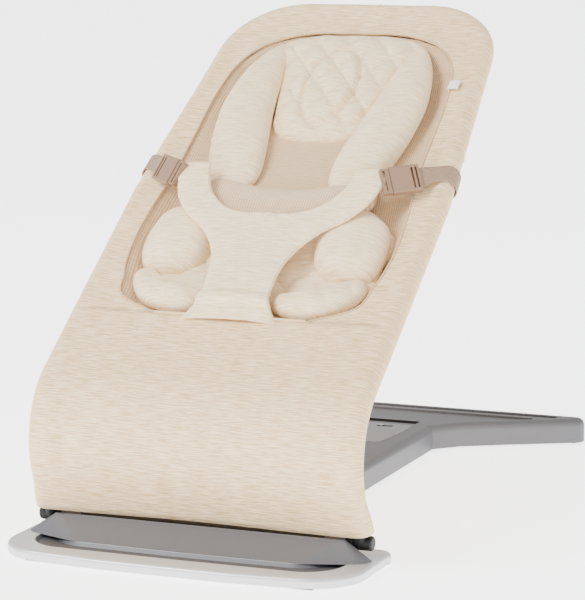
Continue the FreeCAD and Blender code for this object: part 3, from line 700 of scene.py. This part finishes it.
def hard(name, colour, rough, metal=0.0, grain=0.02, speckle=900):
    """Painted or moulded surface: faint grain in colour and bump."""
    material, nodes, links, shader = new_material(name)
    place = nodes.new("ShaderNodeTexCoord")
    noise_node = nodes.new("ShaderNodeTexNoise")
    noise_node.inputs["Scale"].default_value = speckle
    noise_node.inputs["Detail"].default_value = 2.0
    links.new(place.outputs["Object"], noise_node.inputs["Vector"])
    ramp = nodes.new("ShaderNodeValToRGB")
    ramp.color_ramp.elements[0].color = tuple(c * (1 - 3 * grain) for c in colour[:3]) + (1,)
    ramp.color_ramp.elements[1].color = tuple(min(1, c * (1 + 3 * grain)) for c in colour[:3]) + (1,)
    links.new(noise_node.outputs["Fac"], ramp.inputs["Fac"])
    links.new(ramp.outputs["Color"], shader.inputs["Base Color"])
    raised = nodes.new("ShaderNodeBump")
    raised.inputs["Strength"].default_value = 0.08
    raised.inputs["Distance"].default_value = 0.1 * MM
    links.new(noise_node.outputs["Fac"], raised.inputs["Height"])
    links.new(raised.outputs["Normal"], shader.inputs["Normal"])
    socket(shader, "Roughness", rough)
    socket(shader, "Metallic", metal)
    return material


def dished(name, rim, floor, low, front, half_width):
    """Painted shell with darker paint in its dish: below 'low', behind 'front', inside 'half_width'."""
    material = rim.copy()
    material.name = name
    nodes = material.node_tree.nodes
    links = material.node_tree.links
    shader = nodes["Principled BSDF"]
    rim_colour = shader.inputs["Base Color"].links[0].from_socket
    place = nodes.new("ShaderNodeSeparateXYZ")
    links.new(nodes.new("ShaderNodeTexCoord").outputs["Object"], place.inputs["Vector"])

    def calculate(operation, a, b):
        """One Math node; a and b are numbers or outputs of other nodes."""
        node = nodes.new("ShaderNodeMath")
        node.operation = operation
        for entry, value in zip(node.inputs, (a, b)):
            if isinstance(value, float):
                entry.default_value = value
            else:
                links.new(value, entry)
        return node.outputs["Value"]

    sunken = calculate("LESS_THAN", place.outputs["Z"], low)
    behind = calculate("GREATER_THAN", place.outputs["Y"], front)
    side = calculate("ABSOLUTE", place.outputs["X"], 0.0)
    inside = calculate("LESS_THAN", side, half_width)
    dish = calculate("MULTIPLY", calculate("MULTIPLY", sunken, behind), inside)
    paint = nodes.new("ShaderNodeMix")
    paint.data_type = "RGBA"
    paint.inputs["B"].default_value = floor
    links.new(dish, paint.inputs["Factor"])
    links.new(rim_colour, paint.inputs["A"])
    links.new(paint.outputs["Result"], shader.inputs["Base Color"])
    return material


def dress(obj, material):
    """Gives an object one material in place of what it has."""
    obj.data.materials.clear()
    obj.data.materials.append(material)


COVER = fabric("cover_jersey", srgb(250, 222, 178), srgb(212, 176, 124), streak=(45, 700, 1), contrast=0.4)
INSERT = fabric("insert_jersey", srgb(255, 235, 198), srgb(230, 200, 152), streak=(45, 700, 1),
                contrast=0.45)
RIB_MESH = fabric("rib_mesh", srgb(234, 206, 168), srgb(212, 180, 138), rib=2.8 * MM, bump=0.5)
RIB_BAND = fabric("rib_band", srgb(244, 218, 182), srgb(226, 196, 156), rib=3.4 * MM, bump=0.6)
FINE_MESH = fabric("fine_mesh", srgb(238, 210, 174), srgb(220, 190, 150), dots=3.4 * MM, bump=0.5)
THREAD = fabric("thread", srgb(228, 198, 156), srgb(200, 168, 126))
WEBBING = fabric("webbing", srgb(164, 136, 112), srgb(132, 106, 84), streak=(900, 200, 1), bump=0.5)
SILVER = hard("silver_paint", srgb(206, 206, 208), 0.42, 0.55, 0.01)
DISH_LEVEL = 13.9 * MM           # paint below this height is the darker one of the dish
DISH_FRONT = HINGE_Y - 86.5 * MM
DISH_HALF_WIDTH = 195 * MM
DISHED = dished("dished_paint", SILVER, srgb(96, 96, 100), DISH_LEVEL, DISH_FRONT, DISH_HALF_WIDTH)
GREY = hard("grey_paint", srgb(98, 98, 102), 0.48, 0.3, 0.012)
LIGHT_GREY = hard("hub_plastic", srgb(128, 128, 132), 0.45, 0.2, 0.01)
BLACK = hard("black_plastic", srgb(12, 12, 13), 0.6)
STEEL = hard("bare_steel", srgb(190, 190, 192), 0.25, 1.0, 0.01)
TAUPE = hard("taupe_plastic", srgb(136, 108, 86), 0.42, 0.0, 0.015)
LABEL = fabric("label_cloth", srgb(250, 247, 243), srgb(240, 235, 229))

NODE_MATERIALS = {
    "front_foot_shell": DISHED, "front_foot_ramp": GREY, "front_foot_rear_cover": SILVER,
    "front_foot_pads": BLACK, "rear_foot_pads": BLACK, "right_hinge_lug": GREY, "left_hinge_lug": GREY,
    "spine_beam": GREY, "hub_panel": LIGHT_GREY, "notch_rack": BLACK, "rear_foot_shell": GREY,
    "slot_liner": BLACK, "rear_foot_inlay": BLACK, "hinge_shaft": BLACK, "right_hinge_cap": BLACK,
    "left_hinge_cap": BLACK, "right_side_tube": GREY, "left_side_tube": GREY, "head_bow_tube": GREY,
    "mid_crossbar": GREY, "right_crossbar_bracket": LIGHT_GREY, "left_crossbar_bracket": LIGHT_GREY,
    "prop_wire": STEEL, "prop_foot_sleeve": BLACK, "lock_pin": STEEL, "right_buckle_socket": TAUPE,
    "left_buckle_socket": TAUPE, "right_buckle_prong": TAUPE, "left_buckle_prong": TAUPE,
}
for node_name, node_material in NODE_MATERIALS.items():
    dress(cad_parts[node_name], node_material)


# ---------------------------------------------------------------- place the pieces

def seat_piece(obj, material, replaced=()):
    """Soft piece that rides on the seat and the CAD nodes it stands in for."""
    dress(obj, material)
    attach(obj, "seat")
    if replaced:
        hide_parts(*replaced)
    return obj


cover_cloth = seat_piece(cover(), COVER,
                         ("apron", "back_border", "right_sleeve", "left_sleeve", "head_sleeve"))
back_cloth = seat_piece(back_panel(), COVER)
mesh_cloth = seat_piece(seat_mesh(), RIB_MESH, ("seat_mesh",))
insert_cloth = seat_piece(insert_mesh(), FINE_MESH, ("insert_mesh",))
seat_piece(lumbar_roll(), RIB_BAND, ("lumbar_roll",))
REPLACED = {
    "right_side_bolster": ("right_torso_bolster",), "left_side_bolster": ("left_torso_bolster",),
    "right_thigh_bolster": ("right_leg_bolster",), "left_thigh_bolster": ("left_leg_bolster",),
    "head_pad": ("head_roll", "head_pillow"), "seat_quilt": ("seat_cushion",),
}
for cushion in insert_pieces():
    seat_piece(cushion, INSERT, REPLACED.get(cushion.name, ()))
panel, binding = restraint()
seat_piece(panel, INSERT, ("restraint_panel",))
for edge in binding:
    seat_piece(edge, INSERT)
for i, seam in enumerate(FOLD_SEAMS):
    fold_seam = restraint_points(np.linspace(-44, 44, 50) * MM, seam)
    seat_piece(line_object("restraint_seam_%d" % i, fold_seam, 0.7 * MM), THREAD)
right_strap = seat_piece(strap("right_webbing", 1), WEBBING, ("right_strap",))
left_strap = seat_piece(strap("left_webbing", -1), WEBBING, ("left_strap",))
tag = seat_piece(label(), LABEL, ("side_tag",))

seam_line = [seat_point(*seam_point(t), -2.6 * MM) for t in
             np.linspace(APRON_TOP, 2 * MIDDLE_AT - APRON_TOP, 220)]
seat_piece(line_object("inner_seam", seam_line, 0.9 * MM), THREAD)
apron_hem = [seat_point(x, APRON_TOP + 1 * MM, -2.5 * MM) for x in np.linspace(-95, 95, 40) * MM]
seat_piece(line_object("apron_hem", apron_hem, 1.6 * MM), COVER)
for name, station in (("right_sleeve_seam", SLEEVE_SEAM_AT),
                      ("left_sleeve_seam", 2 * MIDDLE_AT - SLEEVE_SEAM_AT),
                      ("head_sleeve_seam", MIDDLE_AT - 12 * MM)):
    x, u, n = wrap_section(station)
    ring = crease(seat_point(x, u, n), x, u)
    seat_piece(line_object(name, ring, 0.8 * MM), THREAD)


# ---------------------------------------------------------------- floor, light and camera

def area_light(name, place, size, power):
    """Square lamp of a size in metres and a power in watts, turned to the middle of the object."""
    light = bpy.data.lights.new(name, "AREA")
    light.energy = power
    light.size = size
    obj = bpy.data.objects.new(name, light)
    obj.location = place
    obj.rotation_euler = (Vector(LAMP_TARGET) - Vector(place)).to_track_quat("-Z", "Y").to_euler()
    bpy.context.scene.collection.objects.link(obj)


FLOOR_REACH = 14                 # metres from the middle to each side
FLOOR_GLOW = 3.0                 # keeps the rendered floor pale, as in the photograph
WORLD_LIGHT = 1.15
LAMP_TARGET = (0, 0, 0.3)


def studio():
    """Pale floor that glows a little, even surrounding light and two soft lamps."""
    floor_mesh = bpy.data.meshes.new("floor")
    corners = [(x * FLOOR_REACH, y * FLOOR_REACH, 0) for x, y in ((-1, -1), (1, -1), (1, 1), (-1, 1))]
    floor_mesh.from_pydata(corners, [], [(0, 1, 2, 3)])
    floor = bpy.data.objects.new("floor", floor_mesh)
    bpy.context.scene.collection.objects.link(floor)
    material, _, _, shader = new_material("floor_white")
    socket(shader, "Base Color", (0.93, 0.93, 0.93, 1))
    socket(shader, "Roughness", 0.9)
    socket(shader, "Emission Color", (1, 1, 1, 1))
    socket(shader, "Emission Strength", FLOOR_GLOW)
    dress(floor, material)
    world = bpy.data.worlds.new("studio")
    world.use_nodes = True
    world.node_tree.nodes["Background"].inputs["Color"].default_value = (1, 1, 1, 1)
    world.node_tree.nodes["Background"].inputs["Strength"].default_value = WORLD_LIGHT
    bpy.context.scene.world = world
    area_light("key", (-1.6, -2.2, 2.6), size=1.6, power=150)
    area_light("fill", (2.6, -1.6, 1.8), size=2.4, power=30)


# The camera, as fitted to the outlines of the base and the seat.
CAMERA_PLACE = (1.224577, -2.648041 + HINGE_Y, 0.777939)
CAMERA_TURN = math.radians(22.787)      # round the vertical
CAMERA_TIP = math.radians(9.491)        # downwards
CAMERA_ROLL = math.radians(-0.4927)
FOCAL_PIXELS = 2642.557
IMAGE_HEIGHT = 600                      # pixels
SENSOR_HEIGHT = 36                      # mm


def camera():
    """Camera to the right of the front, a little above the seat."""
    turn, tip, roll = CAMERA_TURN, CAMERA_TIP, CAMERA_ROLL
    forward = Vector((-math.sin(turn) * math.cos(tip), math.cos(turn) * math.cos(tip), -math.sin(tip)))
    right = Vector((math.cos(turn), math.sin(turn), 0))
    up = right.cross(forward)
    right_rolled = right * math.cos(roll) + up * math.sin(roll)
    up_rolled = up * math.cos(roll) - right * math.sin(roll)
    data = bpy.data.cameras.new("camera")
    data.sensor_fit = "VERTICAL"
    data.sensor_height = SENSOR_HEIGHT
    data.lens = FOCAL_PIXELS / IMAGE_HEIGHT * SENSOR_HEIGHT
    data.clip_end = 60
    obj = bpy.data.objects.new("camera", data)
    axes = (right_rolled, up_rolled, -forward)
    obj.matrix_world = Matrix.Translation(Vector(CAMERA_PLACE)) @ Matrix(axes).transposed().to_4x4()
    bpy.context.scene.collection.objects.link(obj)
    bpy.context.scene.camera = obj


studio()
camera()
